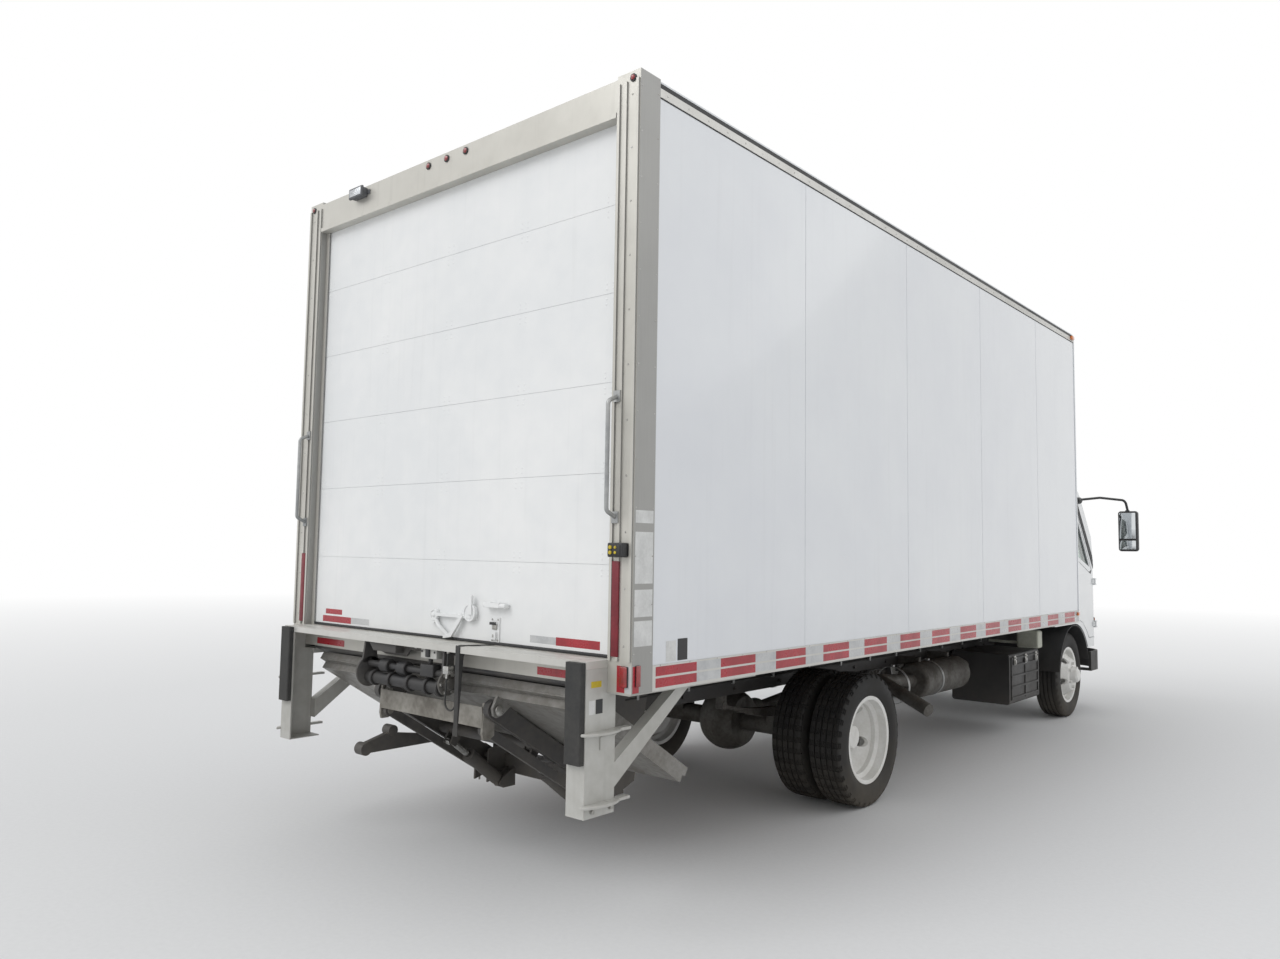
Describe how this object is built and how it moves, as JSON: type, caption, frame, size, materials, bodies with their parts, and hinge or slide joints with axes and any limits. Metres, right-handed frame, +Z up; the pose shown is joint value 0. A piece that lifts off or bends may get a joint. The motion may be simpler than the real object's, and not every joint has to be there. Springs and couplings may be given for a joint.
{
  "type": "box truck",
  "caption": "White low-cab-forward box truck with aluminium rear frame, roll-up door, bed extension and tuck-under liftgate.",
  "frame": {"origin": "centre of the bounding box on the ground", "axes": "+Z up, front of the truck towards -Y, +X is the truck's left side"},
  "size_m": [2.8, 8.08, 3.5569],
  "materials": {
    "body_white": "gloss",
    "frame_aluminium": "satin",
    "door_white": "satin",
    "cab_white": "gloss",
    "chassis_black": "satin",
    "gate_dark": "satin",
    "gate_steel": "satin",
    "galvanised": "matte",
    "wheel_white": "satin",
    "tyre_black": "matte",
    "rubber_black": "matte",
    "plastic_black": "matte",
    "lens_red": "gloss",
    "lens_clear": "gloss",
    "cab_glass": "gloss",
    "floor_wood": "satin",
    "seat_fabric": "matte",
    "trim_grey": "matte",
    "cast_grey": "matte",
    "tank_aluminium": "satin",
    "tank_plastic": "matte",
    "rod_chrome": "gloss"
  },
  "bodies": {
    "root": {"cargo_floor": "floor_wood", "cross_members": "chassis_black", "body_walls": "body_white", "roof_panel": "body_white", "body_rails": "body_white", "front_posts": "body_white", "rear_frame": "frame_aluminium", "roll_up_door": "door_white", "door_hardware": "door_white", "grab_handles": "galvanised", "rear_lamps": "lens_red", "bed_extension": "galvanised", "corner_brackets": "galvanised", "bumper_pads": "rubber_black", "chassis_frame": "chassis_black", "leaf_springs": "cast_grey", "axles": "cast_grey", "engine_block": "cast_grey", "driveline": "chassis_black", "fuel_tank": "tank_aluminium", "battery_box": "plastic_black", "exhaust": "galvanised", "coolant_tank": "tank_plastic", "front_bumper": "plastic_black", "front_fenders": "plastic_black", "cab_mounts": "chassis_black", "gate_frame": "gate_dark"},
    "cab": {"cab_shell": "cab_white", "cab_pan": "cab_white", "engine_tunnel": "cab_white", "cab_glass": "cab_glass", "headlamps": "lens_clear", "grille": "plastic_black", "mirrors": "plastic_black", "cab_seats": "seat_fabric", "dashboard": "trim_grey"},
    "door_left": {"cab_door_left": "cab_white", "door_glass_left": "cab_glass"},
    "door_right": {"cab_door_right": "cab_white", "door_glass_right": "cab_glass"},
    "knuckle_left": {"knuckle_left": "cast_grey"},
    "knuckle_right": {"knuckle_right": "cast_grey"},
    "tie_rod": {"tie_rod": "chassis_black"},
    "front_wheel_left": {"front_rim_left": "wheel_white", "front_tyre_left": "tyre_black"},
    "front_wheel_right": {"front_rim_right": "wheel_white", "front_tyre_right": "tyre_black"},
    "rear_wheels_left": {"rear_rims_left": "wheel_white", "rear_tyres_left": "tyre_black"},
    "rear_wheels_right": {"rear_rims_right": "wheel_white", "rear_tyres_right": "tyre_black"},
    "lift_arms": {"lift_arms": "gate_dark", "platform_pack": "gate_steel"},
    "lift_links": {"lift_links": "gate_dark"},
    "lift_shackles": {"lift_shackles": "gate_dark"},
    "lift_barrels": {"lift_barrels": "gate_dark"},
    "lift_rods": {"lift_rods": "rod_chrome"}
  },
  "joints": [
    {"name": "steer_left", "type": "hinge", "parent": "root", "child": "knuckle_left", "pos_m": [0.735, -2.97, 0.4], "axis": [0, 0, 1], "range_deg": [-36, 36]},
    {"name": "steer_right", "type": "hinge", "parent": "root", "child": "knuckle_right", "pos_m": [-0.735, -2.97, 0.4], "axis": [0, 0, 1], "range_deg": [-36, 36]},
    {"name": "track_rod", "type": "hinge", "parent": "knuckle_left", "child": "tie_rod", "pos_m": [0.735, -2.82, 0.304], "axis": [0, 0, 1], "range_deg": [-36, 36]},
    {"name": "spin_front_left", "type": "hinge", "parent": "knuckle_left", "child": "front_wheel_left", "pos_m": [0.865, -2.97, 0.4], "axis": [1, 0, 0], "continuous": true},
    {"name": "spin_front_right", "type": "hinge", "parent": "knuckle_right", "child": "front_wheel_right", "pos_m": [-0.865, -2.97, 0.4], "axis": [1, 0, 0], "continuous": true},
    {"name": "spin_rear_left", "type": "hinge", "parent": "root", "child": "rear_wheels_left", "pos_m": [0.825, 1.37, 0.4], "axis": [1, 0, 0], "continuous": true},
    {"name": "spin_rear_right", "type": "hinge", "parent": "root", "child": "rear_wheels_right", "pos_m": [-0.825, 1.37, 0.4], "axis": [1, 0, 0], "continuous": true},
    {"name": "cab_tilt", "type": "hinge", "parent": "root", "child": "cab", "pos_m": [0, -3.88, 0.64], "axis": [1, 0, 0], "range_deg": [0, 45]},
    {"name": "door_left_hinge", "type": "hinge", "parent": "cab", "child": "door_left", "pos_m": [1.042, -3.633, 1.2], "axis": [0, 0, -1], "range_deg": [0, 70]},
    {"name": "door_right_hinge", "type": "hinge", "parent": "cab", "child": "door_right", "pos_m": [-1.042, -3.633, 1.2], "axis": [0, 0, 1], "range_deg": [0, 70]},
    {"name": "gate_lower", "type": "hinge", "parent": "root", "child": "lift_arms", "pos_m": [0, 3.17, 0.37], "axis": [-1, 0, 0], "range_deg": [0, 14.5]},
    {"name": "link_turn", "type": "hinge", "parent": "root", "child": "lift_links", "pos_m": [0, 3.17, 0.27], "axis": [-1, 0, 0], "range_deg": [0, 14.5]},
    {"name": "shackle_turn", "type": "hinge", "parent": "lift_arms", "child": "lift_shackles", "pos_m": [0, 3.86, 0.8], "axis": [-1, 0, 0], "range_deg": [-14.5, 0]},
    {"name": "barrel_turn", "type": "hinge", "parent": "root", "child": "lift_barrels", "pos_m": [0, 3.16, 0.235], "axis": [-1, 0, 0], "range_deg": [0, 12.35]},
    {"name": "rod_stroke", "type": "slide", "parent": "lift_barrels", "child": "lift_rods", "axis": [0, 0.7909, 0.6119], "range_m": [-0.0296, 0]}
  ],
  "couplings": [
    {"joint": "steer_right", "follows": "steer_left", "ratio": 1},
    {"joint": "track_rod", "follows": "steer_left", "ratio": -1},
    {"joint": "link_turn", "follows": "gate_lower", "ratio": 1},
    {"joint": "shackle_turn", "follows": "gate_lower", "ratio": -1},
    {"joint": "barrel_turn", "follows": "gate_lower", "ratio": 0.8171},
    {"joint": "rod_stroke", "follows": "gate_lower", "m_per_rad": -0.1092}
  ]
}
